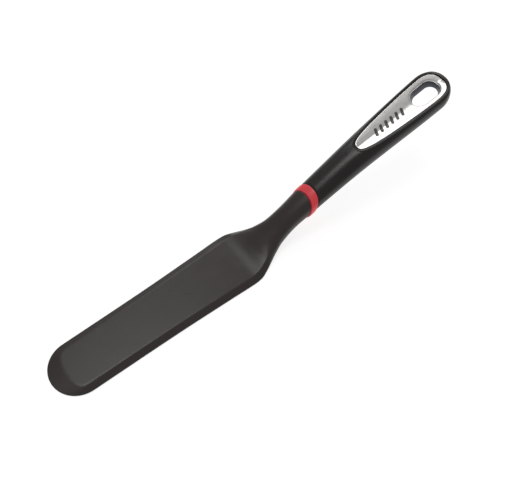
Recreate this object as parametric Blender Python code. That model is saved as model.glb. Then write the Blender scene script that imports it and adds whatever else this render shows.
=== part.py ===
"""Offset spatula: a long nylon blade with a cranked neck, a red collar ring and a
soft-touch handle that carries a dished bright plate around its hanging hole.

The tool lies along X with the blade tip at -X, the blade's underside on Z = 0 and
the handle rising towards +X. The sizes below are in millimetres, with X counted
from the blade's tip. Meshes are written in metres, centred on the bounding box.
"""
import math

import bmesh
import bpy
from mathutils import Matrix, Vector

MM = 0.001
GAP = 0.3                 # clearance between neighbouring pieces

# Overall
LENGTH = 379.8            # blade tip to handle end
CENTRE_X = LENGTH / 2

# Blade
TIP_RADIUS = 22.4         # plan radius of the round tip
RIM_THICKNESS = 0.9       # thickness left at the edge, below the bevel
SIDE_BEVEL = 5.4          # plan width of the bevel along the sides
TIP_BEVEL = 13.0          # plan width of the bevel at the tip
TIP_FACE_RADIUS = 42.0    # the flat face ends in this flatter arc
BEND_START = 170.0        # where the blade's face begins to turn up
NECK_START = 214.0        # where the section has become a neck
TIP_FADE = 48.0           # rows of points stop curving with the tip this far back

# Collar ring, a slanted slice of the neck
RING_FRONT = 234.2        # X of the front face on the centre line
RING_WIDTH = 5.7          # along X
RING_LEAN = math.radians(23)   # the ring's top leans towards the handle
RING_PROUD = 0.65         # grown all round from the neck's section
RING_DROP = 0.6           # and lowered, so that it is flush on top and proud below
LEAN_START = 212.0        # the neck's sections begin to lean with the ring here

# Grip
GRIP_START = RING_FRONT + RING_WIDTH + GAP
CAP_START = 362.0         # the rounded end of the handle begins here
CAP_PLAN_POWER = 2.1      # how squarely the end closes, in plan
CAP_CROWN_POWER = 3.0     # and above the side line
CAP_DEPTH_POWER = 3.0     # and below it
LEAN_END = 285.0          # sections are upright again from here on
SKIN = 2.0                # wall of the soft skin

# Rim plane, which cuts the handle's crown off and carries the plate
RIM_X = 288.6
RIM_Z = 52.5
RIM_SLOPE = math.radians(13)
RIM_PROUD = 0.35          # the skin's rim stands above the plate's edge

# Plate
PLATE_LENGTH = 89.4
PLATE_FULLNESS = 13.7
PLATE_NOSE_POWER = 0.30
PLATE_END_POWER = 16
PLATE_SHEET = 1.2
PLATE_DISH = 0.3          # fall of the two halves towards the centre crease
BOND = 0.5                # adhesive film below the plate
BOND_INSET = 1.2          # the film stops short of the plate's outline
BOND_MARGIN = 3.0         # and of the hole

# Hanging hole, square to the rim plane
HOLE_AT = 71.3            # from the plate's nose, along the rim plane
HOLE_LENGTH = 24.5
HOLE_WIDTH = 14.5
LINER_WALL = 1.3
THROAT_LEVEL = -5.2       # the plate's rolled throat ends here, below the rim plane
WAIST_LEVEL = -9.0        # the liner ends here and the underside's flare begins
UNDER_FLARE = 4.0         # the flare's growth all round at the underside
BOSS_WALL = 5.6           # the skin is solid this far around the flare

# Tang and its pin
TANG_START = 222.0
TANG_END = 298.0
TANG_WIDTH = 9.0
TANG_HEIGHT = 5.6
TANG_SLOPE = math.radians(20.8)
TANG_LEVEL = 17.4         # middle height of the tang where it starts
PIN_AT = 276.0
PIN_RADIUS = 1.5
PIN_LENGTH = 17.0

# Cutters of the hole and the plate's seat run between these levels of the rim plane
BELOW = -30.0
ABOVE = 12.0

# Plan and side stations: X, half width, height of the side line, rise of the top
# above it, fall of the underside below it, and squareness of the section.
STATIONS = (
    (196.0, 15.3, 3.9, 7.6, 3.7, 2.3),
    (206.0, 11.8, 8.3, 8.0, 5.6, 2.3),
    (220.0, 10.6, 15.8, 8.0, 6.8, 2.2),
    (237.0, 11.5, 23.2, 8.5, 7.4, 2.2),
    (268.0, 12.8, 34.9, 9.9, 8.6, 2.1),
    (287.0, 13.6, 41.5, 10.6, 9.1, 2.2),
    (313.0, 14.9, 49.3, 10.8, 8.9, 2.3),
    (344.0, 16.4, 57.9, 10.6, 7.9, 2.5),
    (362.0, 16.9, 62.7, 10.5, 7.2, 2.6),
    (381.0, 16.9, 67.1, 10.3, 7.0, 2.6),
)
# The blade's own plan: X and half width
BLADE_PLAN = (
    (22.4, 22.4),
    (97.0, 23.2),
    (147.0, 24.6),
    (168.0, 25.3),
    (176.0, 24.6),
    (183.0, 21.8),
    (190.0, 18.3),
    (196.0, 15.3),
)
# Heights along the heel: X, top centre line, underside centre line, side line
HEEL = (
    (150.0, 3.0, 0.0, 0.0),
    (170.0, 3.0, 0.0, 0.0),
    (177.0, 3.9, 0.0, 0.3),
    (184.0, 6.2, 0.0, 1.1),
    (190.0, 8.8, 0.1, 2.3),
    (196.0, 11.5, 0.4, 3.9),
    (206.0, 16.3, 2.7, 8.3),
)

HEAD_COLUMNS = 12         # per side
SECTION_POINTS = 32

PARTS = bpy.data.collections.new("offset_spatula")
CUTTERS = bpy.data.collections.new("cutters")


def clear_scene():
    for item in list(bpy.data.objects):
        bpy.data.objects.remove(item, do_unlink=True)
    bpy.context.scene.collection.children.link(PARTS)
    bpy.context.scene.collection.children.link(CUTTERS)


# ---------------------------------------------------------------- curves

def curve_value(rows, column, x):
    """Smooth value of one column of rows at x, with Hermite segments."""
    if x <= rows[0][0]:
        return rows[0][column]
    if x >= rows[-1][0]:
        return rows[-1][column]
    index = 0
    while rows[index + 1][0] < x:
        index += 1

    def slope(i):
        before = max(i - 1, 0)
        after = min(i + 1, len(rows) - 1)
        rise = rows[after][column] - rows[before][column]
        return rise / (rows[after][0] - rows[before][0])

    left = rows[index]
    right = rows[index + 1]
    span = right[0] - left[0]
    t = (x - left[0]) / span
    return (left[column] * (1 + 2 * t) * (1 - t) ** 2
            + slope(index) * span * t * (1 - t) ** 2
            + right[column] * t * t * (3 - 2 * t)
            - slope(index + 1) * span * t * t * (1 - t))


def smoothstep(low, high, x):
    t = min(max((x - low) / (high - low), 0.0), 1.0)
    return t * t * (3 - 2 * t)


def cap_factor(x, power, end):
    """1 along the handle, falling to 0 at its rounded end."""
    u = min(max((x - CAP_START) / (end - CAP_START), 0.0), 1.0)
    return (1 - u ** power) ** (1 / power)


def section(x, inset=0.0, end=LENGTH):
    """Half width, side line, rise, fall and squareness of the neck and handle."""
    width, side, rise, fall, square = (curve_value(STATIONS, i, x) for i in range(1, 6))
    plan = cap_factor(x, CAP_PLAN_POWER, end)
    crown = cap_factor(x, CAP_CROWN_POWER, end)
    depth = cap_factor(x, CAP_DEPTH_POWER, end)
    return ((width - inset) * plan, side, (rise - inset) * crown,
            (fall - inset) * depth, square)


def rim_height(x):
    return RIM_Z + (x - RIM_X) * math.tan(RIM_SLOPE)


def plate_half_width(t):
    """Half width of the plate at a distance t from its nose."""
    u = min(max(t / PLATE_LENGTH, 0.0), 1.0)
    return PLATE_FULLNESS * u ** PLATE_NOSE_POWER * (1 - u ** PLATE_END_POWER) ** 0.5


# ---------------------------------------------------------------- meshes

def to_world(x, y, z):
    return Vector(((x - CENTRE_X) * MM, y * MM, z * MM))


def new_object(name, mesh, collection):
    item = bpy.data.objects.new(name, mesh)
    collection.objects.link(item)
    if collection is CUTTERS:
        item.hide_render = True
        item.display_type = 'WIRE'
    return item


def finish_mesh(name, bm):
    bmesh.ops.recalc_face_normals(bm, faces=bm.faces)
    mesh = bpy.data.meshes.new(name)
    bm.to_mesh(mesh)
    bm.free()
    mesh.shade_smooth()
    mesh.set_sharp_from_angle(angle=math.radians(35))
    return mesh


def tube(name, rings, collection):
    """Loft through closed rings of equal length, with a flat cap at both ends."""
    bm = bmesh.new()
    loops = [[bm.verts.new(to_world(*point)) for point in ring] for ring in rings]
    count = len(rings[0])
    for first, second in zip(loops, loops[1:]):
        for i in range(count):
            j = (i + 1) % count
            bm.faces.new((first[i], first[j], second[j], second[i]))
    bm.faces.new(loops[0])
    bm.faces.new(loops[-1])
    return new_object(name, finish_mesh(name, bm), collection)


def sheet_solid(name, top, bottom, collection):
    """Closed solid between two grids of points that share their plan."""
    bm = bmesh.new()
    upper = [[bm.verts.new(to_world(*point)) for point in row] for row in top]
    lower = [[bm.verts.new(to_world(*point)) for point in row] for row in bottom]
    rows = len(top)
    columns = len(top[0])
    for grid in (upper, lower):
        for i in range(rows - 1):
            for j in range(columns - 1):
                bm.faces.new((grid[i][j], grid[i + 1][j],
                              grid[i + 1][j + 1], grid[i][j + 1]))
    border = [(0, j) for j in range(columns)]
    border += [(i, columns - 1) for i in range(1, rows)]
    border += [(rows - 1, j) for j in range(columns - 2, -1, -1)]
    border += [(i, 0) for i in range(rows - 2, 0, -1)]
    for (i, j), (k, m) in zip(border, border[1:] + border[:1]):
        bm.faces.new((upper[i][j], upper[k][m], lower[k][m], lower[i][j]))
    return new_object(name, finish_mesh(name, bm), collection)


def box(name, size, location, rotation_y, collection):
    """Box of the given size, in millimetres, turned about Y."""
    bm = bmesh.new()
    bmesh.ops.create_cube(bm, size=1.0)
    bmesh.ops.scale(bm, vec=Vector(size) * MM, verts=bm.verts)
    bm.transform(Matrix.Rotation(rotation_y, 4, 'Y'))
    bm.transform(Matrix.Translation(to_world(*location)))
    return new_object(name, finish_mesh(name, bm), collection)


def boolean(target, cutter, operation='DIFFERENCE'):
    modifier = target.modifiers.new(cutter.name, 'BOOLEAN')
    modifier.operation = operation
    modifier.solver = 'EXACT'
    modifier.object = cutter
    return modifier


def give_material(item, colour, roughness, metallic):
    material = bpy.data.materials.new(item.name)
    material.use_nodes = True
    shader = material.node_tree.nodes["Principled BSDF"]
    shader.inputs["Base Color"].default_value = (*colour, 1.0)
    shader.inputs["Roughness"].default_value = roughness
    shader.inputs["Metallic"].default_value = metallic
    item.data.materials.clear()
    item.data.materials.append(material)


# ---------------------------------------------------------------- sections

def ring_points(x, lean=0.0, inset=0.0, end=LENGTH, points=SECTION_POINTS):
    """Closed section at x whose plane leans by an angle from the vertical."""
    middle = section(x, inset, end)[1]
    ring = []
    for i in range(points):
        angle = 2 * math.pi * i / points
        across = math.cos(angle)
        up = math.sin(angle)
        at = x
        for _ in range(8):
            width, side, rise, fall, square = section(at, inset, end)
            power = 2 / square
            y = width * math.copysign(abs(across) ** power, across)
            reach = rise if up > 0 else fall
            z = side + reach * math.copysign(abs(up) ** power, up)
            at = x + (z - middle) * math.tan(lean)
        ring.append((at, y, z))
    return ring


def handle_rings(start, inset=0.0):
    """Sections from a leaning front face to the rounded end of the handle."""
    end = LENGTH - inset
    body = 16
    cap = 10
    rings = []
    for i in range(body):
        x = start + (CAP_START - start) * i / body
        lean = RING_LEAN * (1 - smoothstep(start, LEAN_END, x))
        rings.append(ring_points(x, lean, inset, end))
    for i in range(cap + 1):
        x = CAP_START + (end - CAP_START) * 0.996 * math.sin(math.pi / 2 * i / cap)
        rings.append(ring_points(x, 0.0, inset, end))
    return rings


def above_rim(name, lowered):
    """Cutter that holds everything above the rim plane, lowered by a distance."""
    length = 160.0
    height = 30.0
    slope = RIM_SLOPE
    x = RIM_X + 45.0
    z = rim_height(x) - lowered
    centre = (x - math.sin(slope) * height / 2, 0.0, z + math.cos(slope) * height / 2)
    return box(name, (length, 60.0, height), centre, -slope, CUTTERS)


def obround(length, width, points=28):
    """Outline of a slot, as points (along, across) counter-clockwise."""
    radius = width / 2
    straight = length / 2 - radius
    outline = []
    for i in range(points):
        angle = -math.pi / 2 + 2 * math.pi * i / points
        shift = straight if i < points // 2 else -straight
        outline.append((shift + radius * math.cos(angle), radius * math.sin(angle)))
    return outline


def on_rim_plane(along, across, above):
    """Point given by its place on the rim plane and its distance above it."""
    cos = math.cos(RIM_SLOPE)
    sin = math.sin(RIM_SLOPE)
    return (RIM_X + along * cos - above * sin, across, RIM_Z + along * sin + above * cos)


def slot_rings(levels):
    """Rings of a slot-shaped tube: (height above the rim plane, growth) pairs."""
    return [[on_rim_plane(HOLE_AT + a, b, above)
             for a, b in obround(HOLE_LENGTH + 2 * grow, HOLE_WIDTH + 2 * grow)]
            for above, grow in levels]


# ---------------------------------------------------------------- blade head

def blade_half_width(x):
    if x < BLADE_PLAN[-1][0]:
        return curve_value(BLADE_PLAN, 1, x)
    return section(x)[0]


def bevel_fraction(x, y):
    """0 at the blade's edge and 1 on its flat face."""
    across = min(abs(y), TIP_RADIUS)
    outer = TIP_RADIUS - math.sqrt(TIP_RADIUS ** 2 - across ** 2)
    inner = TIP_BEVEL + TIP_FACE_RADIUS - math.sqrt(TIP_FACE_RADIUS ** 2 - across ** 2)
    if x < TIP_RADIUS:
        from_side = TIP_RADIUS - math.hypot(TIP_RADIUS - x, y)
    else:
        from_side = blade_half_width(x) - abs(y)
    side = max(from_side / SIDE_BEVEL, 0.0)
    tip = max((x - outer) / max(inner - outer, 1.0), 0.0)
    if side <= 0.001 or tip <= 0.001:
        return 0.0
    return min((side ** -5 + tip ** -5) ** -0.2, 1.0)


def head_heights(x, y, share):
    """Top and underside height of the blade head; share is y over half width."""
    neck = smoothstep(BEND_START + 14, NECK_START, x)
    if x < HEEL[-1][0]:
        top, under, side = (max(curve_value(HEEL, i, x), 0.0) for i in range(1, 4))
        square = STATIONS[0][5]
    else:
        _, side, rise, fall, square = section(x)
        top = side + rise
        under = side - fall
    edge = RIM_THICKNESS * (1 - neck) + 0.5 * neck
    edge_top = side + edge * (1 - 0.5 * neck)
    edge_under = side - edge * 0.5 * neck
    dome = (1 - min(abs(share), 1.0) ** square) ** (1 / square)
    shape = bevel_fraction(x, y) * (1 - neck) + dome * neck
    return (edge_top + (top - edge_top) * shape,
            edge_under + (under - edge_under) * dome)


def head_grids():
    """Top and underside grids of the blade head, tip to ring."""
    stops = [0.0, 2.0, 4.5, 7.0, 9.5, 12.0, 14.0, 17.0, 22.0, 30.0, 42.0]
    stops += [60.0, 80.0, 100.0, 120.0, 140.0, 155.0]
    stops += [164.0 + 3.0 * i for i in range(24)]
    top = []
    bottom = []
    for stop in stops:
        bulge = max(1 - stop / TIP_FADE, 0.0)
        lean = RING_LEAN * smoothstep(LEAN_START, RING_FRONT, stop)
        neck = smoothstep(BEND_START + 14, NECK_START, stop)
        top_row = []
        bottom_row = []
        for j in range(-HEAD_COLUMNS, HEAD_COLUMNS + 1):
            even = math.sin(math.pi / 2 * j / HEAD_COLUMNS)
            share = even if stop < 1 else bulge * even + (1 - bulge) * column_share(j, stop, neck)
            x = stop + bulge * TIP_RADIUS * (1 - math.sqrt(max(1 - share * share, 0.0)))
            rows = []
            for side in (0, 1):
                at = x
                for _ in range(8):
                    y = share * blade_half_width(at if at > TIP_RADIUS else TIP_RADIUS)
                    z = head_heights(at, y, share)[side]
                    at = x + (z - section(x)[1]) * math.tan(lean) if lean else x
                rows.append((at, y, z))
            top_row.append(rows[0])
            bottom_row.append(rows[1])
        top.append(top_row)
        bottom.append(bottom_row)
    return top, bottom


def column_share(j, stop, neck):
    """Share of the half width for column j: a row on the bevel's inner edge."""
    size = abs(j) / HEAD_COLUMNS
    inner = 1 - SIDE_BEVEL / blade_half_width(stop)
    split = 0.75
    if size <= split:
        flat = inner * size / split
    else:
        flat = inner + (1 - inner) * (size - split) / (1 - split)
    round_share = math.sin(math.pi / 2 * size)
    return math.copysign(flat * (1 - neck) + round_share * neck, j)


def make_blade_head():
    top, bottom = head_grids()
    head = sheet_solid("blade_head", top, bottom, PARTS)
    tang = tang_box("tang", 0.0)
    boolean(head, tang, 'UNION')
    boolean(head, pin_cylinder("pin_hole_head", GAP, PIN_LENGTH + 4))
    give_material(head, (0.045, 0.040, 0.038), 0.42, 0.0)


def tang_box(name, grow):
    """The tang, or the socket around it when grown by a clearance."""
    length = (TANG_END - TANG_START) / math.cos(TANG_SLOPE)
    middle = (TANG_START + TANG_END) / 2
    size = (length + 2 * grow, TANG_WIDTH + 2 * grow, TANG_HEIGHT + 2 * grow)
    return box(name, size, (middle, 0.0, tang_height(middle)), -TANG_SLOPE, CUTTERS)


def tang_height(x):
    """Middle height of the tang at x."""
    return TANG_LEVEL + (x - TANG_START) * math.tan(TANG_SLOPE)


def pin_cylinder(name, grow, length, collection=None):
    """Cross pin through the tang, along Y."""
    bm = bmesh.new()
    bmesh.ops.create_cone(bm, cap_ends=True, segments=20, radius1=(PIN_RADIUS + grow) * MM,
                          radius2=(PIN_RADIUS + grow) * MM, depth=length * MM)
    bm.transform(Matrix.Rotation(math.pi / 2, 4, 'X'))
    bm.transform(Matrix.Translation(to_world(PIN_AT, 0.0, tang_height(PIN_AT))))
    return new_object(name, finish_mesh(name, bm), collection or CUTTERS)


# ---------------------------------------------------------------- ring and handle

def make_ring_collar():
    profile = ((0.0, 0.35), (0.5, 0.8), (1.2, 1.0), (RING_WIDTH - 1.2, 1.0),
               (RING_WIDTH - 0.5, 0.8), (RING_WIDTH, 0.35))
    rings = []
    for along, proud in profile:
        drop = RING_DROP * proud
        ring = ring_points(RING_FRONT + along, RING_LEAN, -RING_PROUD * proud, points=40)
        rings.append([(x - drop * math.tan(RING_LEAN), y, z - drop) for x, y, z in ring])
    collar = tube("ring_collar", rings, PARTS)
    boolean(collar, tang_box("collar_bore", GAP))
    give_material(collar, (0.76, 0.045, 0.06), 0.35, 0.0)


def boss_around_hole(name, grow):
    """Cutter for the solid boss that the skin forms below the liner."""
    wall = BOSS_WALL + grow
    return tube(name, slot_rings(((BELOW, wall), (WAIST_LEVEL + grow, wall))), CUTTERS)


def make_grip_skin():
    skin = tube("grip_skin", handle_rings(GRIP_START), PARTS)
    boolean(skin, above_rim("skin_top", -RIM_PROUD))
    cavity_rings = handle_rings(GRIP_START, SKIN)
    ahead = [(x - 6.0, y, z - 2.0) for x, y, z in cavity_rings[0]]
    cavity = tube("skin_cavity", [ahead] + cavity_rings, CUTTERS)
    boolean(cavity, above_rim("cavity_top", PLATE_SHEET))
    boolean(cavity, boss_around_hole("cavity_boss", 0.0))
    boolean(skin, cavity)
    boolean(skin, plate_solid("skin_pocket", GAP, None, pocket_depth(), CUTTERS))
    depth = underside_below_hole() - WAIST_LEVEL
    flare = [(WAIST_LEVEL + depth * t, UNDER_FLARE * t * t) for t in (2.0, 1.3, 1.0, 0.75, 0.5, 0.25)]
    boolean(skin, tube("skin_hole", slot_rings(flare + [(WAIST_LEVEL, 0), (ABOVE, 0)]), CUTTERS))
    give_material(skin, (0.022, 0.020, 0.019), 0.45, 0.0)


def make_handle_core():
    core = tube("handle_core", handle_rings(GRIP_START, SKIN + GAP), PARTS)
    boolean(core, above_rim("core_top", PLATE_SHEET + GAP))
    boolean(core, plate_solid("core_pocket", GAP, None, pocket_depth(), CUTTERS))
    boolean(core, tang_box("core_socket", GAP))
    boolean(core, pin_cylinder("core_pin_hole", GAP, PIN_LENGTH + 12))
    boolean(core, boss_around_hole("core_boss", GAP))
    wall = LINER_WALL + GAP
    boolean(core, tube("core_hole", slot_rings(((BELOW, wall), (ABOVE, wall))), CUTTERS))
    give_material(core, (0.10, 0.10, 0.105), 0.6, 0.0)


def make_tang_pin():
    pin = pin_cylinder("tang_pin", 0.0, PIN_LENGTH, PARTS)
    give_material(pin, (0.55, 0.55, 0.56), 0.3, 1.0)


# ---------------------------------------------------------------- plate

def pocket_depth():
    """Depth of the plate's seat below its dished top."""
    return PLATE_SHEET + BOND + 2 * GAP


def plate_level(across, half):
    """Height of the dished plate above the rim plane."""
    return -PLATE_DISH * max(half - abs(across), 0.0)


def plate_solid(name, grow, above, below, collection):
    """The plate's outline grown by a clearance, filled between two distances from its
    dished face; with no distance above it, the solid's top is flat and high."""
    stops = 26
    columns = 8
    top = []
    bottom = []
    for i in range(stops + 1):
        share = 0.5 - 0.5 * math.cos(math.pi * (0.02 + 0.96 * i / stops))
        wide = plate_half_width(PLATE_LENGTH * share) + grow
        along = PLATE_LENGTH * share + grow * (2 * share - 1)
        half = plate_half_width(along)
        top.append([])
        bottom.append([])
        for j in range(-columns, columns + 1):
            across = wide * j / columns
            level = plate_level(across, half)
            upper = ABOVE if above is None else level + above
            top[-1].append(on_rim_plane(along, across, upper))
            bottom[-1].append(on_rim_plane(along, across, level - below))
    return sheet_solid(name, top, bottom, collection)


def make_end_plate():
    plate = plate_solid("end_plate", 0.0, 0.0, PLATE_SHEET, PARTS)
    throat = tube("throat", slot_rings(((THROAT_LEVEL, PLATE_SHEET), (0.0, PLATE_SHEET))), CUTTERS)
    within = PLATE_SHEET / 3
    boolean(throat, plate_solid("throat_top", 0.0, -within, 9.0, CUTTERS), 'INTERSECT')
    boolean(plate, throat, 'UNION')
    boolean(plate, tube("plate_hole", slot_rings(((BELOW, 0.0), (ABOVE, 0.0))), CUTTERS))
    give_material(plate, (0.72, 0.71, 0.69), 0.28, 1.0)


def make_plate_bond():
    top = PLATE_SHEET + GAP
    bond = plate_solid("plate_bond", -BOND_INSET, -top, top + BOND, PARTS)
    boolean(bond, tube("bond_hole", slot_rings(((BELOW, BOND_MARGIN), (ABOVE, BOND_MARGIN))), CUTTERS))
    give_material(bond, (0.55, 0.52, 0.45), 0.7, 0.0)


def make_hole_liner():
    levels = ((WAIST_LEVEL + GAP, LINER_WALL), (THROAT_LEVEL - GAP, LINER_WALL))
    liner = tube("hole_liner", slot_rings(levels), PARTS)
    boolean(liner, tube("liner_hole", slot_rings(((BELOW, 0.0), (ABOVE, 0.0))), CUTTERS))
    give_material(liner, (0.10, 0.105, 0.115), 0.3, 0.6)


def underside_below_hole():
    """Level of the handle's underside below the hole's centre, from the rim plane."""
    x = on_rim_plane(HOLE_AT, 0.0, -10.0)[0]
    _, side, _, fall, _ = section(x)
    return (side - fall - rim_height(x)) * math.cos(RIM_SLOPE) + 0.6


clear_scene()
make_blade_head()
make_ring_collar()
make_handle_core()
make_grip_skin()
make_tang_pin()
make_end_plate()
make_plate_bond()
make_hole_liner()
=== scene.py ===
"""Looks of the offset spatula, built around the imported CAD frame.

The blade with its neck, the red ring, the soft grip with the bead round its plate, the
dished metal plate and the liner of the hanging hole are rebuilt here as fine meshes
with procedural materials. A row of slanted bars on the plate has no CAD node of its
own. The core, the tang's pin and the adhesive film stay as CAD nodes inside the grip.

Sizes are in millimetres, with X counted from the blade's tip, as in the CAD source.
Meshes are written in metres, in the frame's own coordinates.
"""
import math

import bmesh
import bpy
import numpy as np
from mathutils import Matrix, Vector


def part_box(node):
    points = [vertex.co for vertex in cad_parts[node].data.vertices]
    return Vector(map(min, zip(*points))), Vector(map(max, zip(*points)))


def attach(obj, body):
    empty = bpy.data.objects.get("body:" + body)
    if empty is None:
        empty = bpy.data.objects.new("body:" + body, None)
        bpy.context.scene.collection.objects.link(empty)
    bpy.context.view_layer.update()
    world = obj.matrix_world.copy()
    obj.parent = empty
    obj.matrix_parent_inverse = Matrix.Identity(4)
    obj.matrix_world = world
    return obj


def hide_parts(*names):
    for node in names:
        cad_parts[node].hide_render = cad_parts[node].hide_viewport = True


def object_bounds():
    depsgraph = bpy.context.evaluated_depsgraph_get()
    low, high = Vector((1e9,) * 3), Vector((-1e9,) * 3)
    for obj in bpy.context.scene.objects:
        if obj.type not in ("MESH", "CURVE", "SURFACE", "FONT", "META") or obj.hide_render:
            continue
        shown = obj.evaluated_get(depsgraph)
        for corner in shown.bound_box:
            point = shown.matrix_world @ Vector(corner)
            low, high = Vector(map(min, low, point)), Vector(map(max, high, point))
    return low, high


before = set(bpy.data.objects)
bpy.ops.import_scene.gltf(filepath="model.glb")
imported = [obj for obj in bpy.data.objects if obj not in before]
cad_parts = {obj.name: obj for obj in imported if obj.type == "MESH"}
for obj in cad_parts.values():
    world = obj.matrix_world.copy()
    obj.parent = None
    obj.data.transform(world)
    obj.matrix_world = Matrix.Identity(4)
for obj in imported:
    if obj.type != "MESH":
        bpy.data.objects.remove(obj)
cad_low, cad_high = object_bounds()

MM = 0.001
TIP_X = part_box("blade_head")[0].x     # the blade's tip in the frame, in metres
BODY = "root"

# ---------------------------------------------------------------- sizes (mm)
LENGTH = 379.8            # blade tip to handle end
GAP = 0.3                 # clearance between neighbouring pieces

# Blade
TIP_RADIUS = 22.4
RIM_THICKNESS = 0.9
SIDE_BEVEL = 5.4
TIP_BEVEL = 13.0
TIP_FACE_RADIUS = 42.0
BEND_START = 170.0
NECK_START = 214.0
NECK_SPAN = (184.0, NECK_START)   # where the blade's section becomes the neck's
NECK_EDGE = 0.5           # height of the parting band along the neck's side
CROWN_SPAN = (172.0, 200.0)   # where the flat face grows into the neck's crown
CROWN_POWER = 1.8
BEVEL_SPAN = (175.0, 205.0)   # where the side bevel narrows
BEVEL_NARROWING = 0.35
EDGE_ROUND = 0.25         # rounding of the blade's thin edge
EDGE_ROUND_LEAST = 0.02   # what is left of that rounding along the neck
FACE_ROUND = 0.14         # softness of the edge between face and bevel
BOWED_ROWS = 48.0         # mesh rows follow the round tip up to here

# Collar ring
RING_FRONT = 234.2
RING_WIDTH = 5.7
RING_LEAN = math.radians(23)
RING_PROUD = 0.65
RING_DROP = 0.6
RING_ROUND = 0.9          # rounding of the ring's two edges
RING_CROWN = 0.05         # swell of the ring between its edges
RING_BORE = -4.4          # level of the ring's bore, from the neck's surface
RING_BORE_EDGE = 0.3
LEAN_START = 212.0        # where the neck's mesh rows start to lean like the ring

# Grip
CAP_START = 362.0
CAP_PLAN_POWER = 2.1
CAP_CROWN_POWER = 3.0
CAP_DEPTH_POWER = 3.0
RIM_X = 288.6
RIM_Z = 52.5
RIM_SLOPE = math.radians(13)
RIM_LEVEL = -0.1          # the handle's flat below the bead, above the rim plane
RIM_ROUND = 0.8           # rounding of that flat's outer edge
SEAT_ROUND = 0.25         # rounding of the rim's inner edge, beside the plate
SEAT_DEPTH = 8.0          # the seat below the plate
HOLE_ROUND = 1.6          # rounding where the hole meets the underside
FRONT_ROUND = 0.9         # rounding of the grip's front edge, beside the ring
GRIP_CELL = 0.5           # grid step of the grip's mesh

# Bead round the plate: distance outside the plate and height above the rim plane
BEAD = (
    (0.26, -1.40),
    (0.26, -0.20),
    (0.29, -0.12),
    (0.36, -0.08),
    (0.46, -0.05),
    (0.58, -0.02),
    (1.62, 0.22),
    (1.74, 0.245),
    (1.88, 0.24),
    (2.00, 0.19),
    (2.10, 0.08),
    (2.16, -0.08),
    (2.18, -0.30),
    (2.18, -0.70),
    (2.10, -1.40),
)

# Plate
PLATE_LENGTH = 89.4
PLATE_FULLNESS = 13.4
PLATE_NOSE_POWER = 0.30
PLATE_END_POWER = 16
PLATE_SHEET = 1.2
DISH_SLOPE = 0.20         # slope of the dished halves at the outline
DISH_CURVE = 0.09         # and how it steepens towards the centre crease
CREASE_ROUND = (0.3, 1.2)     # blunting of the crease: at the nose, added at the hole
CREASE_SPAN = (30.0, 60.0)    # where that blunting grows
CREASE_LIMIT = 0.2        # largest blunting, as a share of the plate's half width
DISH_RUN_OUT = 0.5        # how far the dish runs on through the plate's rounded end
PLATE_EDGE = 0.4          # rounding of the plate's outer edge
PLATE_ROLL = 1.3          # radius of the roll into the hole
THROAT_WALL = 0.1         # the rolled throat ends this far below the roll
FACING = 0.45             # share of the mesh lines' places that face the outline

# Hanging hole
HOLE_AT = 71.3
HOLE_LENGTH = 24.5
HOLE_WIDTH = 14.5
HOLE_STRAIGHT = (HOLE_LENGTH - HOLE_WIDTH) / 2
LINER_WALL = 1.3
LINER_BOTTOM = -8.7
LINER_GAP = 0.05          # between the liner's top and the plate's throat
WAIST_LEVEL = -9.0
UNDER_LEVEL = -12.5       # the grip's underside at the hole
UNDER_FLARE = 4.0         # the hole widens by this much from waist to underside
TOP_FLARE = 1.0           # the hole widens by this much towards the plate
BOTTOM_TAPER = 0.8        # and narrows by this much at the liner's lower end

# Row of slanted bars on the plate
BARS = 6
FIRST_BAR = 20.0          # middle of the first bar, from the plate's nose
BAR_STEP = 5.4
BAR_LENGTH = 7.6
BAR_WIDTH = 2.5
BAR_SLANT = math.radians(24)
BAR_PROUD = 0.05          # height of a bar above the plate
BAR_DEPTH = 0.15

# Tang
TANG_START = 222.0
TANG_END = 298.0
TANG_WIDTH = 9.0
TANG_HEIGHT = 5.6
TANG_SLOPE = math.radians(20.8)
TANG_LEVEL = 17.4         # middle height of the tang where it starts
TANG_POINTS = 24
TANG_ROUNDNESS = 0.35     # 1 is an ellipse, 0 a rectangle

# Camera: direction of view, distance and aim in metres, sensor and lens in millimetres
AZIMUTH = math.radians(37.75)
ELEVATION = math.radians(59.32)   # looking down by this much
DISTANCE = 0.65314
AIM = (0.1878, 0.0004, 0.0070)    # counted from the blade's tip
SENSOR = 36.0
LENS = 58.14

# Floor and surroundings, in metres
FLOOR_HALF = 12.0
FLOOR_DROP = 0.0002       # the floor is this far below the blade
FLOOR_COLOUR = (0.5, 0.5, 0.5, 1)
FLOOR_GLOW = 0.78         # emission of the floor
SKY = 0.33                # brightness of the white surroundings
WHITE = (1, 1, 1, 1)

# Plan and side stations: X, half width, height of the side line, rise of the top
# above it, fall of the underside below it, and squareness of the section.
STATIONS = (
    (196.0, 15.3, 3.9, 7.6, 3.7, 2.3),
    (206.0, 11.8, 8.3, 8.0, 5.6, 2.3),
    (220.0, 10.6, 15.8, 8.0, 6.8, 2.2),
    (237.0, 11.5, 23.2, 8.5, 7.4, 2.2),
    (268.0, 12.8, 34.9, 9.9, 8.6, 2.1),
    (287.0, 13.6, 41.5, 10.6, 9.1, 2.2),
    (313.0, 14.9, 49.3, 10.8, 8.9, 2.3),
    (344.0, 16.4, 57.9, 10.6, 7.9, 2.5),
    (362.0, 16.9, 62.7, 10.5, 7.2, 2.6),
    (381.0, 16.9, 67.1, 10.3, 7.0, 2.6),
)
# The blade's own plan: X and half width
BLADE_PLAN = (
    (22.4, 22.4),
    (97.0, 23.2),
    (147.0, 24.6),
    (168.0, 25.29),
    (176.0, 24.6),
    (183.0, 21.8),
    (190.0, 18.3),
    (196.0, 15.3),
)
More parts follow.
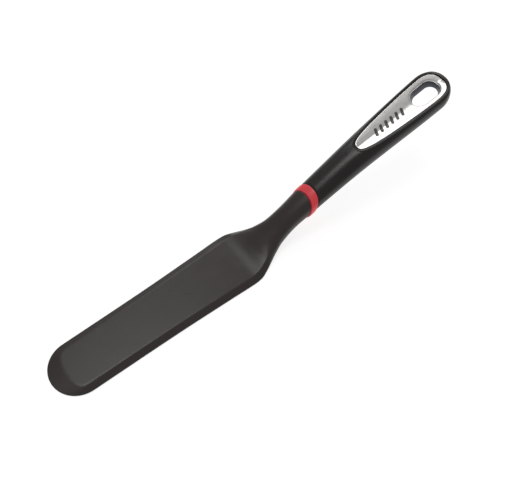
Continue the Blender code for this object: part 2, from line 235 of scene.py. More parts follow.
# Heights along the heel: X, top centre line, underside centre line, side line
HEEL = (
    (150.0, 3.0, 0.0, 0.0),
    (170.0, 3.0, 0.0, 0.0),
    (177.0, 3.9, 0.0, 0.3),
    (184.0, 6.2, 0.0, 1.1),
    (190.0, 8.8, 0.1, 2.3),
    (196.0, 11.5, 0.4, 3.9),
    (206.0, 16.3, 2.7, 8.3),
)


# ---------------------------------------------------------------- curves

def curve_value(rows, column, x):
    """Smooth value of one column of rows at x, with Hermite segments."""
    table = np.array(rows)
    at = table[:, 0]
    value = table[:, column]
    slope = np.gradient(value, at)
    slope[1:-1] = (value[2:] - value[:-2]) / (at[2:] - at[:-2])
    x = np.clip(x, at[0], at[-1])
    i = np.clip(np.searchsorted(at, x) - 1, 0, len(at) - 2)
    span = at[i + 1] - at[i]
    t = (x - at[i]) / span
    return (value[i] * (1 + 2 * t) * (1 - t) ** 2
            + slope[i] * span * t * (1 - t) ** 2
            + value[i + 1] * t * t * (3 - 2 * t)
            - slope[i + 1] * span * t * t * (1 - t))


def smoothstep(low, high, x):
    t = np.clip((x - low) / (high - low), 0.0, 1.0)
    return t * t * (3 - 2 * t)


def smooth_max(a, b, k):
    """Larger of two values, rounded over a width k."""
    h = np.maximum(k - np.abs(a - b), 0.0) / k
    return np.maximum(a, b) + h * h * k / 4


def smooth_min(a, b, k):
    return -smooth_max(-a, -b, k)


def arch(share, power):
    """1 in the middle, falling to 0 where share is 1 or more on either side."""
    return (1 - np.minimum(np.abs(share), 1.0) ** power) ** (1 / power)


def cap_factor(x, power):
    """1 along the handle, falling almost to 0 at its rounded end."""
    return arch(np.clip((x - CAP_START) / (LENGTH - CAP_START), 0.0, 0.9998), power)


def section(x, inset=0.0):
    """Half width, side line, rise, fall and squareness of the neck and handle."""
    width, side, rise, fall, square = (curve_value(STATIONS, i, x) for i in range(1, 6))
    return ((width - inset) * cap_factor(x, CAP_PLAN_POWER), side,
            (rise - inset) * cap_factor(x, CAP_CROWN_POWER),
            (fall - inset) * cap_factor(x, CAP_DEPTH_POWER), square)


def plate_half_width(t):
    """Half width of the plate at a distance t from its nose."""
    u = np.clip(t / PLATE_LENGTH, 0.0, 1.0)
    return PLATE_FULLNESS * u ** PLATE_NOSE_POWER * (1 - u ** PLATE_END_POWER) ** 0.5


def to_rim(x, z):
    """Along and above coordinates of a point on the rim plane."""
    cos = math.cos(RIM_SLOPE)
    sin = math.sin(RIM_SLOPE)
    return ((x - RIM_X) * cos + (z - RIM_Z) * sin,
            (z - RIM_Z) * cos - (x - RIM_X) * sin)


def on_rim_plane(along, across, above):
    """Point given by its place on the rim plane and its distance above it."""
    cos = math.cos(RIM_SLOPE)
    sin = math.sin(RIM_SLOPE)
    along, across, above = np.broadcast_arrays(along, across, above)
    return np.stack((RIM_X + along * cos - above * sin, across,
                     RIM_Z + along * sin + above * cos), axis=-1)


# ---------------------------------------------------------------- meshes

def to_world(points):
    """Millimetres from the blade's tip to the frame's metres."""
    moved = np.array(points, dtype=float) * MM
    moved[..., 0] += TIP_X
    return moved


def new_piece(name, points, faces, material, node):
    """A smooth-shaded object that stands for a CAD node, or for none."""
    mesh = bpy.data.meshes.new(name)
    mesh.from_pydata(to_world(points).reshape(-1, 3).tolist(), [], faces)
    bm = bmesh.new()
    bm.from_mesh(mesh)
    bmesh.ops.recalc_face_normals(bm, faces=bm.faces)
    bm.to_mesh(mesh)
    bm.free()
    mesh.shade_smooth()
    mesh.materials.append(material)
    piece = bpy.data.objects.new(name, mesh)
    bpy.context.scene.collection.objects.link(piece)
    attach(piece, BODY)
    if node:
        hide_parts(node)
    return piece


def band_faces(first, second):
    """Quads between two closed loops with as many points each."""
    faces = []
    for i in range(len(first)):
        k = (i + 1) % len(first)
        faces.append((first[i], first[k], second[k], second[i]))
    return faces


def ring_faces(rings, count, closed, start=0):
    """Quads between rings of count points each; closed joins the last to the first."""
    faces = []
    for i in range(rings if closed else rings - 1):
        a = start + i * count
        b = start + (i + 1) % rings * count
        faces += band_faces(range(a, a + count), range(b, b + count))
    return faces


def grid_faces(rows, columns, start):
    """Quads of a grid whose points are numbered row by row."""
    faces = []
    for row in range(rows - 1):
        for k in range(start + row * columns, start + (row + 1) * columns - 1):
            faces.append((k, k + columns, k + columns + 1, k + 1))
    return faces


# ---------------------------------------------------------------- blade head

def blade_half_width(x):
    """Half width of the blade and, further back, of the neck."""
    return np.where(x < BLADE_PLAN[-1][0], curve_value(BLADE_PLAN, 1, x), section(x)[0])


def bevel_height(x, y):
    """0 at the blade's edge, 1 at the inner side of the bevel and more inside."""
    across = np.minimum(np.abs(y), TIP_RADIUS)
    outer = TIP_RADIUS - np.sqrt(TIP_RADIUS ** 2 - across ** 2)
    inner = TIP_BEVEL + TIP_FACE_RADIUS - np.sqrt(TIP_FACE_RADIUS ** 2 - across ** 2)
    from_side = np.where(x < TIP_RADIUS, TIP_RADIUS - np.hypot(TIP_RADIUS - x, y),
                         blade_half_width(x) - np.abs(y))
    width = SIDE_BEVEL * (1 - BEVEL_NARROWING * smoothstep(*BEVEL_SPAN, x))
    side = np.maximum(from_side / width, 1e-4)
    tip = np.maximum((x - outer) / np.maximum(inner - outer, 1.0), 1e-4)
    return (side ** -5 + tip ** -5) ** -0.2


def head_heights(x, y, share):
    """Top and underside height of the blade head; share is y over half width."""
    neck = smoothstep(*NECK_SPAN, x)
    on_heel = x < HEEL[-1][0]

    def level(column, on_neck):
        return np.where(on_heel, np.maximum(curve_value(HEEL, column, x), 0), on_neck)

    _, side_line, rise, fall, square = section(x)
    top = level(1, side_line + rise)
    under = level(2, side_line - fall)
    side = level(3, side_line)
    edge = RIM_THICKNESS * (1 - neck) + NECK_EDGE * neck
    edge_top = side + edge * (1 - neck / 2)
    edge_under = side - edge * neck / 2
    dome = arch(share, np.where(on_heel, STATIONS[0][5], square))
    face = 1 - (1 - arch(share, CROWN_POWER)) * smoothstep(*CROWN_SPAN, x)
    shape = smooth_min(bevel_height(x, y), face, FACE_ROUND) * (1 - neck) + dome * neck
    return (edge_top + (top - edge_top) * shape,
            edge_under + (under - edge_under) * dome)


def head_grids():
    """Top and underside grids of the blade head, tip to ring, rows along X."""
    # Rows are closer at the tip's bevel and along the heel and neck, and columns are
    # closer where the side bevel meets the face.
    stops = np.concatenate((np.arange(0, 9, 0.5), np.arange(9, 18, 0.35),
                            np.arange(18, 30, 0.8), np.arange(30, 150, 3.0),
                            np.arange(150, 233, 0.7), [233.0]))[:, None]
    from_edge = np.array([8.0, 7.2, 6.6, 6.2, 5.9, 5.65, 5.4, 5.15, 4.9, 4.6, 4.1, 3.5,
                          2.9, 2.3, 1.7, 1.2, 0.8, 0.5, 0.0])
    inner = 18
    steps = inner + len(from_edge)
    j = np.arange(steps + 1)
    even = np.sin(math.pi / 2 * j / steps)[None, :]
    half = blade_half_width(np.maximum(stops, TIP_RADIUS))
    flat = np.concatenate((np.arange(inner + 1)[None, :] / inner
                           * (1 - from_edge[0] / half),
                           1 - from_edge[None, 1:] / half,
                           np.ones_like(half)), axis=1)[:, :steps + 1]
    neck = smoothstep(*NECK_SPAN, stops)
    shares = flat * (1 - neck) + even * neck
    bulge = np.maximum(1 - stops / BOWED_ROWS, 0.0)
    shares = bulge * even + (1 - bulge) * shares
    shares = np.concatenate((-shares[:, :0:-1], shares), axis=1)
    start = stops + bulge * TIP_RADIUS * (1 - np.sqrt(np.maximum(1 - shares ** 2, 0.0)))
    lean = RING_LEAN * smoothstep(LEAN_START, RING_FRONT, stops)
    grids = []
    for which in (0, 1):
        x = start
        for _ in range(8):
            y = shares * blade_half_width(np.maximum(x, TIP_RADIUS))
            z = head_heights(x, y, shares)[which]
            x = start + (z - section(start)[1]) * np.tan(lean)
        grids.append(np.stack((x, y, z), axis=-1))
    return grids


def border_indices(rows, columns):
    """Grid places around the border, counter-clockwise from the first corner."""
    border = [(0, j) for j in range(columns)]
    border += [(i, columns - 1) for i in range(1, rows)]
    border += [(rows - 1, j) for j in range(columns - 2, -1, -1)]
    border += [(i, 0) for i in range(rows - 2, 0, -1)]
    return border


def make_blade_head(material):
    top, bottom = head_grids()
    rows, columns = top.shape[:2]
    border = border_indices(rows, columns)
    i, j = np.array(border).T
    upper = top[i, j]
    lower = bottom[i, j]
    ahead = np.roll(upper, -1, axis=0) - np.roll(upper, 1, axis=0)
    outward = np.stack((ahead[:, 1], -ahead[:, 0]), axis=-1)
    outward /= np.maximum(np.linalg.norm(outward, axis=1, keepdims=True), 1e-9)
    neck = smoothstep(BEND_START, NECK_START, upper[:, 0])
    size = np.maximum(EDGE_ROUND * (1 - neck), EDGE_ROUND_LEAST)[:, None]
    centre = upper[:, :2].mean(axis=0)
    if np.mean(np.sum(outward * (upper[:, :2] - centre), axis=1)) < 0:
        outward = -outward
    rings = []
    for loop, sign, angles in ((upper, -1, (0, 30, 60, 90)), (lower, 1, (90, 60, 30, 0))):
        for angle in angles:
            turn = math.radians(angle)
            ring = loop.copy()
            ring[:, :2] -= outward * size * (1 - math.sin(turn))
            ring[:, 2] += sign * size[:, 0] * (1 - math.cos(turn))
            rings.append(ring)
    top[i, j] = rings[0]
    bottom[i, j] = rings[-1]
    points = np.concatenate([top.reshape(-1, 3), bottom.reshape(-1, 3)] + rings[1:-1])
    cells = rows * columns
    faces = grid_faces(rows, columns, 0) + grid_faces(rows, columns, cells)
    loops = [(i * columns + j).tolist()]
    for start in range(2 * cells, len(points), len(border)):
        loops.append(range(start, start + len(border)))
    loops.append((cells + i * columns + j).tolist())
    for first, second in zip(loops, loops[1:]):
        faces += band_faces(first, second)
    tang, tang_faces = tang_shape(len(points))
    new_piece("blade_and_neck", np.concatenate((points, tang)), faces + tang_faces,
              material, "blade_head")


def tang_shape(start):
    """Rounded bar that runs from inside the neck into the grip's core."""
    corners = []
    for i in range(TANG_POINTS):
        angle = 2 * math.pi * i / TANG_POINTS
        corners.append([math.copysign(abs(side) ** TANG_ROUNDNESS, side)
                        for side in (math.cos(angle), math.sin(angle))])
    # Share of the length, and size of the section there
    profile = ((0.0, 0.9), (0.4, 1.0), (0.985, 1.0), (0.995, 0.92), (1.0, 0.75))
    rings = []
    for share, size in profile:
        x = TANG_START + (TANG_END - TANG_START) * share
        z = TANG_LEVEL + (x - TANG_START) * math.tan(TANG_SLOPE)
        rings.append([(x - b * size * TANG_HEIGHT / 2 * math.sin(TANG_SLOPE),
                       a * size * TANG_WIDTH / 2,
                       z + b * size * TANG_HEIGHT / 2 * math.cos(TANG_SLOPE))
                      for a, b in corners])
    faces = ring_faces(len(rings), len(corners), False, start)
    faces.append(tuple(range(start, start + len(corners))))
    end = start + (len(rings) - 1) * len(corners)
    faces.append(tuple(range(end, end + len(corners))))
    return np.array(rings).reshape(-1, 3), faces


# ---------------------------------------------------------------- collar ring

def leaning_ring(x, grow, points):
    """Closed section at x, grown all round, whose plane leans like the collar."""
    angle = 2 * math.pi * np.arange(points) / points
    across = np.cos(angle)
    up = np.sin(angle)
    middle = section(x)[1]
    at = np.full(points, float(x))
    for _ in range(8):
        width, side, rise, fall, square = section(at, -grow)
        y = width * np.sign(across) * np.abs(across) ** (2 / square)
        z = side + np.where(up > 0, rise, fall) * np.sign(up) * np.abs(up) ** (2 / square)
        at = x + (z - middle) * math.tan(RING_LEAN)
    return np.stack((at, y, z), axis=-1)


def make_collar(material):
    points = 160
    steps = 6
    profile = []
    for i in range(steps + 1):
        turn = math.pi / 2 * i / steps
        profile.append((RING_ROUND * (1 - math.cos(turn)),
                        RING_PROUD - RING_ROUND * (1 - math.sin(turn))))
    crown = [(RING_ROUND + (RING_WIDTH - 2 * RING_ROUND) * i / steps,
              RING_PROUD + RING_CROWN * math.sin(math.pi * i / steps))
             for i in range(1, steps)]
    mirrored = [(RING_WIDTH - along, grow) for along, grow in reversed(profile)]
    inside = [(RING_WIDTH, RING_BORE / 2), (RING_WIDTH - RING_BORE_EDGE, RING_BORE),
              (RING_BORE_EDGE, RING_BORE), (0.0, RING_BORE / 2)]
    rings = []
    for along, grow in profile + crown + mirrored + inside:
        ring = leaning_ring(RING_FRONT + along, grow, points)
        drop = RING_DROP * max(grow, 0.0) / RING_PROUD
        rings.append(ring - (drop * math.tan(RING_LEAN), 0.0, drop))
    new_piece("collar_band", np.array(rings), ring_faces(len(rings), points, True),
              material, "ring_collar")


# ---------------------------------------------------------------- grip

def obround_distance(along, across):
    """Distance outside the hanging hole's outline, on the rim plane."""
    beyond = np.maximum(np.abs(along - HOLE_AT) - HOLE_STRAIGHT, 0.0)
    return np.hypot(beyond, across) - HOLE_WIDTH / 2


def plate_outline(points):
    """Half of the plate's outline, end to nose, evenly spaced, as (along, across)."""
    share = 0.5 + 0.5 * np.cos(np.linspace(0, math.pi, 4001))
    along = PLATE_LENGTH * share
    across = plate_half_width(along)
    travel = np.concatenate(([0], np.cumsum(np.hypot(np.diff(along), np.diff(across)))))
    even = np.linspace(0, travel[-1], points)
    return np.stack((np.interp(even, travel, along), np.interp(even, travel, across)), -1)


class EdgeDistance:
    """Signed distance to the plate's outline, looked up in a fine grid."""
    step = 0.25
    low = (-12.0, 0.0)
    shape = (460, 100)

    def __init__(self):
        outline = plate_outline(240)
        along = self.low[0] + self.step * np.arange(self.shape[0])
        across = self.low[1] + self.step * np.arange(self.shape[1])
        grid = np.stack(np.meshgrid(along, across, indexing='ij'), -1).reshape(-1, 2)
        best = np.full(len(grid), 1e9)
        for first, second in zip(outline, outline[1:]):
            line = second - first
            t = np.clip(((grid - first) @ line) / (line @ line), 0, 1)
            gap = grid - first - t[:, None] * line
            best = np.minimum(best, np.hypot(gap[:, 0], gap[:, 1]))
        inside = (grid[:, 0] > 0) & (grid[:, 0] < PLATE_LENGTH)
        inside &= grid[:, 1] < plate_half_width(grid[:, 0])
        self.table = np.where(inside, -best, best).reshape(self.shape)

    def __call__(self, along, across):
        a = np.clip((along - self.low[0]) / self.step, 0, self.shape[0] - 1.001)
        b = np.clip(np.abs(across) / self.step, 0, self.shape[1] - 1.001)
        i = a.astype(int)
        j = b.astype(int)
        a = a - i
        b = b - j
        return ((self.table[i, j] * (1 - a) + self.table[i + 1, j] * a) * (1 - b)
                + (self.table[i, j + 1] * (1 - a) + self.table[i + 1, j + 1] * a) * b)


def body_distance(x, y, z):
    """Distance outside the handle's smooth body, near its surface."""
    def radial(x):
        width, side, rise, fall, square = section(x)
        height = z - side
        reach = np.where(height > 0, rise, fall)
        level = ((np.abs(y) / width) ** square + (np.abs(height) / reach) ** square)
        return np.hypot(y, height) * (1 - np.maximum(level, 1e-6) ** (-1 / square))

    here = radial(x)
    slope = (radial(x + 0.05) - here) / 0.05
    return here / np.sqrt(1 + np.minimum(slope * slope, 400.0))


GRIP_START = RING_FRONT + RING_WIDTH + GAP


def grip_field(edge):
    """Signed distance of the grip's solid, as a function of x, y and z."""
    middle = section(GRIP_START)[1]

    def field(x, y, z):
        along, above = to_rim(x, z)
        body = body_distance(x, y, z)
        outer = smooth_max(body, above - RIM_LEVEL, RIM_ROUND)
        front = GRIP_START - x + (z - middle) * math.tan(RING_LEAN)
        outer = smooth_max(outer, front * math.cos(RING_LEAN), FRONT_ROUND)
        seat = np.maximum(edge(along, y) - GAP, -above - SEAT_DEPTH)
        outer = smooth_max(outer, -seat, SEAT_ROUND)
        depth = np.clip((WAIST_LEVEL - above) / (WAIST_LEVEL - UNDER_LEVEL), 0.0, 3.0)
        flare = UNDER_FLARE * depth * depth
        above_waist = smoothstep(WAIST_LEVEL, WAIST_LEVEL + 0.4, above)
        hole = obround_distance(along, y) - flare - (LINER_WALL + GAP) * above_waist
        return smooth_max(outer, -hole, HOLE_ROUND)

    return field


def surface_net(field, low, high, cell, lift):
    """Quad mesh of the field's zero surface on a grid that follows the handle."""
    axes = [np.arange(a, b + cell, cell) for a, b in zip(low, high)]
    gx = axes[0][:, None, None]
    gy = axes[1][None, :, None]
    gz = axes[2][None, None, :] + lift(axes[0])[:, None, None]
    value = field(gx, gy, gz).astype(np.float32)
    inside = value < 0
    corners = [inside[i:i - 1 or None, j:j - 1 or None, k:k - 1 or None]
               for i in (0, 1) for j in (0, 1) for k in (0, 1)]
    count = sum(c.astype(np.int8) for c in corners)
    active = (count > 0) & (count < 8)
    index = np.full(active.shape, -1)
    index[active] = np.arange(active.sum())
    i, j, k = np.nonzero(active)
    total = np.zeros((len(i), 3))
    crossings = np.zeros(len(i))
    for axis in range(3):
        others = [a for a in range(3) if a != axis]
        for first in (0, 1):
            for second in (0, 1):
                offset = [0, 0, 0]
                offset[others[0]] = first
                offset[others[1]] = second
                a = value[i + offset[0], j + offset[1], k + offset[2]]
                offset[axis] = 1
                b = value[i + offset[0], j + offset[1], k + offset[2]]
                cut = (a < 0) != (b < 0)
                t = np.where(cut, a / np.where(cut, a - b, 1), 0)
                place = np.array(offset, dtype=float)[None, :].repeat(len(i), 0)
                place[:, axis] = t
                total += place * cut[:, None]
                crossings += cut
    local = total / crossings[:, None] + np.stack((i, j, k), -1)
    points = local * cell + np.array(low)
    points[:, 2] += lift(points[:, 0])
    quads = []
    for axis in range(3):
        ahead = [slice(None)] * 3
        ahead[axis] = slice(1, None)
        here = [slice(None)] * 3
        here[axis] = slice(None, -1)
        cut = inside[tuple(here)] != inside[tuple(ahead)]
        for other in range(3):
            if other != axis:
                trim = [slice(None)] * 3
                trim[other] = slice(1, -1)
                cut = cut[tuple(trim)]
        a, b, c = np.nonzero(cut)
        base = [a, b, c]
        others = [n for n in range(3) if n != axis]
        for other in others:
            base[other] = base[other] + 1
        ring = []
        for first, second in ((1, 1), (0, 1), (0, 0), (1, 0)):
            place = list(base)
            place[others[0]] = base[others[0]] - first
            place[others[1]] = base[others[1]] - second
            ring.append(index[place[0], place[1], place[2]])
        quads.append(np.stack(ring, -1))
    return points, np.concatenate(quads)


def settle(points, field, rounds, reach):
    """Moves points onto the field's zero surface along its slope."""
    h = 0.02
    start = points.copy()
    for _ in range(rounds):
        x, y, z = points.T
        value = field(x, y, z)
        slope = np.stack((field(x + h, y, z) - field(x - h, y, z),
                          field(x, y + h, z) - field(x, y - h, z),
                          field(x, y, z + h) - field(x, y, z - h)), -1) / (2 * h)
        size = np.maximum((slope * slope).sum(1), 0.05)
        points = points - slope * (value / size)[:, None]
        points = start + np.clip(points - start, -reach, reach)
    return points


def closed_outline(half):
    """The plate's whole outline from its half, with the outward directions."""
    outline = np.concatenate((half, half[-2:0:-1] * (1, -1)))
    ahead = np.roll(outline, -1, axis=0) - np.roll(outline, 1, axis=0)
    outward = np.stack((ahead[:, 1], -ahead[:, 0]), -1)
    outward /= np.linalg.norm(outward, axis=1, keepdims=True)
    outward[0] = (1, 0)
    outward[len(half) - 1] = (-1, 0)
    return outline, outward


def bead_shape(start):
    """Moulded bead that frames the plate."""
    outline, outward = closed_outline(plate_outline(201))
    rings = []
    for away, above in BEAD:
        place = outline + outward * away
        rings.append(on_rim_plane(place[:, 0], place[:, 1], above))
    return (np.array(rings).reshape(-1, 3),
            ring_faces(len(rings), len(outline), True, start))


def make_grip(material):
    field = grip_field(EdgeDistance())
    low = (GRIP_START - 6.0, -18.0, -12.0)
    high = (LENGTH + 1.0, 18.0, 14.0)
    points, quads = surface_net(field, low, high, GRIP_CELL, lambda x: section(x)[1])
    points = settle(points, field, 3, GRIP_CELL * 0.6)
    points[:, 0] = np.minimum(points[:, 0], (cad_high.x - TIP_X) / MM)
    bead, bead_faces = bead_shape(len(points))
    new_piece("grip_body", np.concatenate((points, bead)), quads.tolist() + bead_faces,
              material, "grip_skin")


# ---------------------------------------------------------------- plate and liner

def plate_level(along, across):
    """Height of the dished plate above the rim plane."""
    half = plate_half_width(along)
    full = PLATE_FULLNESS * np.clip(along / PLATE_LENGTH, 0.0, 1.0) ** PLATE_NOSE_POWER
    half = half + (full - half) * DISH_RUN_OUT
    blunt = CREASE_ROUND[0] + CREASE_ROUND[1] * smoothstep(*CREASE_SPAN, along)
    blunt = np.minimum(blunt, CREASE_LIMIT * half)
    inward = np.maximum(half - np.hypot(across, blunt), 0.0)
    return -inward * (DISH_SLOPE + DISH_CURVE * inward / np.maximum(half, 0.1))


def hole_outline(toward):
    """Points on the hole's edge, each facing a point of the plate's outline."""
    radius = HOLE_WIDTH / 2 + TOP_FLARE
    straight = HOLE_STRAIGHT
    half_turn = math.pi * radius / 2
    total = 2 * (half_turn + straight)
    nearest = np.clip(toward[:, 0], HOLE_AT - straight, HOLE_AT + straight)
    angle = np.arctan2(toward[:, 1], toward[:, 0] - nearest)
    facing = radius * angle + (HOLE_AT + straight - nearest)
    even = np.linspace(0, total, len(toward))
    travel = FACING * facing + (1 - FACING) * even
    first = travel < half_turn
    last = travel > half_turn + 2 * straight
    arc = np.where(first, travel, np.where(last, travel - 2 * straight, half_turn))
    turn = arc / radius
    centre = np.where(first, straight,
                      np.where(last, -straight, straight - (travel - half_turn)))
    normal = np.stack((np.cos(turn), np.sin(turn)), -1)
    edge = np.stack((HOLE_AT + centre, np.zeros_like(centre)), -1) + radius * normal
    return edge, normal


def make_plate(material):
    """Dished sheet that rolls into the hanging hole, built as rings round the hole."""
    half = plate_outline(241)
    edge, normal = (np.concatenate((side, side[-2:0:-1] * (1, -1)))
                    for side in hole_outline(half))
    outline, outward = closed_outline(half)
    rings = []

    def level(place):
        from_hole = obround_distance(place[:, 0], place[:, 1]) - TOP_FLARE
        near = np.clip(PLATE_ROLL - from_hole, 0.0, PLATE_ROLL)
        roll = PLATE_ROLL - np.sqrt(np.maximum(PLATE_ROLL ** 2 - near ** 2, 0.0))
        return plate_level(place[:, 0], place[:, 1]) - roll

    # The throat's wall, from its lower end up to the roll
    roll_end = plate_level(edge[:, 0], edge[:, 1]) - PLATE_ROLL
    throat_end = roll_end - THROAT_WALL
    rings.append((edge, throat_end))
    rings.append((edge, throat_end + THROAT_WALL / 2))
    # The roll out of the hole
    for turn in np.linspace(math.pi / 2, 0, 11):
        place = edge + normal * PLATE_ROLL * (1 - math.sin(turn))
        rings.append((place, level(place)))
    # The dished face out to the rounded edge
    start = edge + normal * PLATE_ROLL
    stop = outline - outward * PLATE_EDGE
    for share in np.linspace(0, 1, 46)[1:]:
        place = start + (stop - start) * share
        rings.append((place, level(place)))
    face_edge = rings[-1][1]
    for turn in np.radians((30, 60, 90)):
        rings.append((stop + outward * PLATE_EDGE * math.sin(turn),
                      face_edge - PLATE_EDGE * (1 - math.cos(turn))))
    # The underside, back to the throat's outer wall
    rings.append((outline, face_edge - PLATE_SHEET))
    back = edge + normal * PLATE_SHEET
    for share in np.linspace(0, 1, 10)[1:]:
        place = stop + (back - stop) * share
        rings.append((place, np.minimum(plate_level(place[:, 0], place[:, 1]), face_edge)
                      - PLATE_SHEET))
    rings.append((back, np.minimum(throat_end, rings[-1][1] - 0.2)))
    points = np.array([on_rim_plane(place[:, 0], place[:, 1], above)
                       for place, above in rings])
    new_piece("plate_face", points, ring_faces(len(rings), len(outline), True),
              material, "end_plate")


def make_bars(material):
    """Row of slanted, rounded bars inlaid in the plate across its crease."""
    along_bar = np.linspace(-1, 1, 41)[:, None]
    across_bar = np.linspace(-1, 1, 7)[None, :]
    flat = 1 - BAR_WIDTH / BAR_LENGTH
    beyond = np.maximum((np.abs(along_bar) - flat) / (1 - flat), 0.0)
    half_width = BAR_WIDTH / 2 * np.sqrt(np.maximum(1 - beyond ** 2, 0.0025))
    reach = along_bar * BAR_LENGTH / 2
    rows, columns = len(along_bar), across_bar.shape[1]
    border = [a * columns + b for a, b in border_indices(rows, columns)]
    cells = rows * columns
    points = []
    faces = []
    for number in range(BARS):
        along = (FIRST_BAR + BAR_STEP * number + reach * math.sin(BAR_SLANT)
                 + across_bar * half_width * math.cos(BAR_SLANT))
        across = (reach * math.cos(BAR_SLANT)
                  - across_bar * half_width * math.sin(BAR_SLANT))
        level = plate_level(along, across)
        start = 2 * cells * number
        for height in (BAR_PROUD, -BAR_DEPTH):
            points.append(on_rim_plane(along, across, level + height).reshape(-1, 3))
        for base in (start, start + cells):
            faces += grid_faces(rows, columns, base)
        faces += band_faces([start + k for k in border],
                            [start + cells + k for k in border])
    new_piece("plate_bars", np.concatenate(points), faces,
              material, None)


def make_liner(material):
    """Sleeve of the hole, from the plate's roll down to the grip's waist."""
    turns = np.linspace(0, 2 * math.pi, 201)[:-1]
    centre = HOLE_AT + HOLE_STRAIGHT * np.sign(np.cos(turns))

    def loop(grow):
        radius = HOLE_WIDTH / 2 + grow
        return centre + radius * np.cos(turns), radius * np.sin(turns)

    top = plate_level(*loop(TOP_FLARE)) - PLATE_ROLL - THROAT_WALL - LINER_GAP
    # Share of the height, drop below it, and distance outside the hole's wall
    profile = ((0, -0.15, 0.15), (0, 0, 0), (0.25, 0, 0), (0.5, 0, 0), (0.75, 0, 0),
               (1, -0.1, 0), (1, 0, 0.1), (1, 0, LINER_WALL), (0, 0, LINER_WALL))
    rings = []
    for share, drop, grow in profile:
        level = LINER_BOTTOM + (top - LINER_BOTTOM) * share + drop
        if grow < LINER_WALL:
            grow += TOP_FLARE * share - BOTTOM_TAPER * (1 - share)
        rings.append(on_rim_plane(*loop(grow), level))
    new_piece("hole_sleeve", np.array(rings), ring_faces(len(rings), len(turns), True),
              material, "hole_liner")


# ---------------------------------------------------------------- materials

def new_material(name, metallic=0.0):
    """A new material and its Principled shader."""
    material = bpy.data.materials.new(name)
    material.use_nodes = True
    shader = material.node_tree.nodes["Principled BSDF"]
    shader.inputs["Metallic"].default_value = metallic
    return material, shader


def noise(material, scale, detail=2.0, stretch=(1, 1, 1)):
    """Noise in the object's own space; scale is in features per metre."""
    nodes = material.node_tree.nodes
    links = material.node_tree.links
    place = nodes.new("ShaderNodeTexCoord")
    size = nodes.new("ShaderNodeMapping")
    size.inputs["Scale"].default_value = stretch
    texture = nodes.new("ShaderNodeTexNoise")
    texture.inputs["Scale"].default_value = scale
    texture.inputs["Detail"].default_value = detail
    links.new(place.outputs["Object"], size.inputs["Vector"])
    links.new(size.outputs["Vector"], texture.inputs["Vector"])
    return texture.outputs["Fac"]


def ramp(material, source, stops):
    """Colour ramp over a 0-1 source; stops are (position, colour or grey)."""
    nodes = material.node_tree.nodes
    node = nodes.new("ShaderNodeValToRGB")
    elements = node.color_ramp.elements
    while len(elements) < len(stops):
        elements.new(0.5)
    for element, (position, colour) in zip(elements, stops):
        element.position = position
        if isinstance(colour, (int, float)):
            colour = (colour, colour, colour)
        element.color = (*colour, 1.0)
    material.node_tree.links.new(source, node.inputs["Fac"])
    return node.outputs["Color"]


def bump(material, shader, sources):
    """Chains bumps: each source is (value, strength, distance in metres)."""
    nodes = material.node_tree.nodes
    links = material.node_tree.links
    previous = None
    for value, strength, distance in sources:
        node = nodes.new("ShaderNodeBump")
        node.inputs["Strength"].default_value = strength
        node.inputs["Distance"].default_value = distance
        links.new(value, node.inputs["Height"])
        if previous:
            links.new(previous, node.inputs["Normal"])
        previous = node.outputs["Normal"]
    links.new(previous, shader.inputs["Normal"])


def feed(material, shader, source, stops, target="Base Color"):
    """Feeds a ramp over the source to one of the shader's inputs."""
    material.node_tree.links.new(ramp(material, source, stops), shader.inputs[target])


def plastic(name, dark, light, rough, grain, grain_depth, metallic=0.0):
    """Moulded plastic: cloudy colour, faint scuffs, fine grain and slight waviness."""
    material, shader = new_material(name, metallic)
    cloud = noise(material, 60, 4)
    feed(material, shader, cloud, ((0.3, dark), (0.7, light)))
    scuff = noise(material, 260, 3, (0.25, 1, 1))
    feed(material, shader, scuff, ((0.25, rough[0]), (0.8, rough[1])), "Roughness")
    bump(material, shader, ((noise(material, grain, 3), 0.5, grain_depth),
                            (noise(material, 180, 2), 0.08, 0.00004)))
    return material


def metal(name, tint, tint_noise, rough, rough_noise):
    """Bare metal with a clouded tint and drawn-out satin streaks."""
    material, shader = new_material(name, 1.0)
    cloud = noise(material, *tint_noise)
    feed(material, shader, cloud, ((0.3, tint[0]), (0.7, tint[1])))
    streak = noise(material, *rough_noise)
    feed(material, shader, streak, ((0.3, rough[0]), (0.7, rough[1])), "Roughness")
    return material, shader


def make_materials():
    """Material for each piece and each CAD node that stays."""
    steel, _ = metal("pin_steel", (0.45, 0.6), (400, 4), (0.2, 0.36),
                     (900, 4, (1, 0.1, 1)))
    plate, shader = metal("plate_satin", ((0.82, 0.805, 0.79), (0.87, 0.855, 0.84)),
                          (120, 3), (0.26, 0.34), (500, 4, (0.15, 1, 1)))
    bump(plate, shader, ((noise(plate, 1600, 3, (0.1, 1, 1)), 0.04, 0.00001),))
    return {
        "blade": plastic("blade_nylon", (0.036, 0.026, 0.025), (0.042, 0.031, 0.030),
                         (0.27, 0.33), 3200, 0.00001),
        "red": plastic("collar_red", (0.90, 0.066, 0.084), (0.95, 0.080, 0.098),
                       (0.20, 0.27), 2600, 0.000005),
        "grip": plastic("grip_soft", (0.011, 0.008, 0.008), (0.015, 0.012, 0.011),
                        (0.25, 0.31), 4200, 0.00001),
        "bars": plastic("bar_grey", (0.085, 0.080, 0.078), (0.11, 0.105, 0.10),
                        (0.34, 0.44), 3600, 0.000005),
        # The liner's black plastic is drawn as a lighter, bluish dark grey: painted
        # reflection of the hole's wall
        "liner": plastic("liner_painted_reflection", (0.06, 0.065, 0.075), (0.09, 0.095, 0.11),
                         (0.30, 0.42), 2600, 0.00001, metallic=0.6),
        "core": plastic("core_dark", (0.08, 0.08, 0.085), (0.12, 0.12, 0.125),
                        (0.5, 0.65), 1800, 0.00002),
        "bond": plastic("bond_film", (0.50, 0.47, 0.41), (0.60, 0.57, 0.50),
                        (0.6, 0.8), 1500, 0.00003),
        "steel": steel,
        "plate": plate,
    }


# ---------------------------------------------------------------- scene

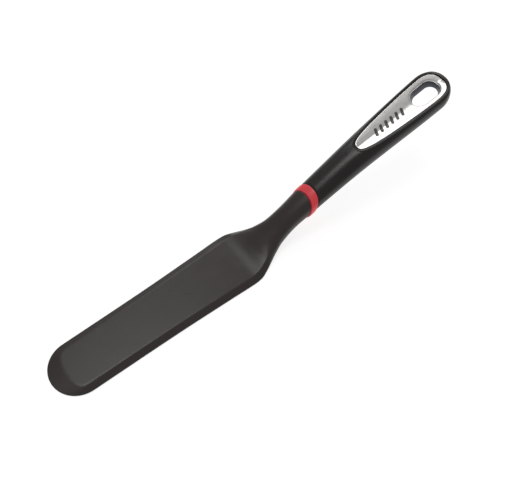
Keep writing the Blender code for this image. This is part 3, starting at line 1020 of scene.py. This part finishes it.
def area_light(name, place, aim, size, brightness):
    """Soft rectangular lamp of a given brightness, as radiance."""
    light = bpy.data.lights.new(name, 'AREA')
    light.shape = 'RECTANGLE'
    light.size = size[0]
    light.size_y = size[1]
    light.energy = brightness * math.pi * size[0] * size[1]
    item = bpy.data.objects.new(name, light)
    item.location = place
    item.rotation_mode = 'QUATERNION'
    item.rotation_quaternion = (Vector(aim) - Vector(place)).to_track_quat('-Z', 'Y')
    item.visible_camera = False
    bpy.context.scene.collection.objects.link(item)


def make_stage():
    """Pale floor, plain bright surroundings and two soft lamps."""
    bm = bmesh.new()
    bmesh.ops.create_grid(bm, x_segments=2, y_segments=2, size=FLOOR_HALF)
    mesh = bpy.data.meshes.new("floor")
    bm.to_mesh(mesh)
    bm.free()
    floor = bpy.data.objects.new("floor", mesh)
    floor.location.z = cad_low.z - FLOOR_DROP
    bpy.context.scene.collection.objects.link(floor)
    material, shader = new_material("floor_white")
    for name, value in (("Base Color", FLOOR_COLOUR), ("Roughness", 0.9),
                        ("Specular IOR Level", 0.1), ("Emission Color", WHITE),
                        ("Emission Strength", FLOOR_GLOW)):
        shader.inputs[name].default_value = value
    mesh.materials.append(material)

    world = bpy.data.worlds.new("studio")
    bpy.context.scene.world = world
    world.use_nodes = True
    background = world.node_tree.nodes["Background"]
    background.inputs["Color"].default_value = WHITE
    background.inputs["Strength"].default_value = SKY

    area_light("card", (0.55, 1.2, 1.10), (0.1, 0, 0.05), (1.1, 0.95), 1.5)
    area_light("softbox", (-0.085, 0.33, 1.5), (0.0, 0, 0.0), (0.68, 0.50), 3.2)


def make_camera():
    aim = Vector((TIP_X + AIM[0], AIM[1], AIM[2]))
    right = Vector((math.cos(AZIMUTH), -math.sin(AZIMUTH), 0))
    level = Vector((math.sin(AZIMUTH), math.cos(AZIMUTH), 0))
    ahead = level * math.cos(ELEVATION) - Vector((0, 0, math.sin(ELEVATION)))
    up = right.cross(ahead)
    camera = bpy.data.cameras.new("camera")
    camera.sensor_width = SENSOR
    camera.lens = LENS
    item = bpy.data.objects.new("camera", camera)
    turn = Matrix((right, up, -ahead)).transposed().to_4x4()
    item.matrix_world = Matrix.Translation(aim - ahead * DISTANCE) @ turn
    bpy.context.scene.collection.objects.link(item)
    bpy.context.scene.camera = item


materials = make_materials()
make_blade_head(materials["blade"])
make_collar(materials["red"])
make_grip(materials["grip"])
make_plate(materials["plate"])
make_bars(materials["bars"])
make_liner(materials["liner"])
for node, key in (("handle_core", "core"), ("tang_pin", "steel"), ("plate_bond", "bond")):
    bpy.data.objects[node].material_slots[0].material = materials[key]
make_stage()
make_camera()
bpy.context.scene.view_settings.view_transform = 'Standard'
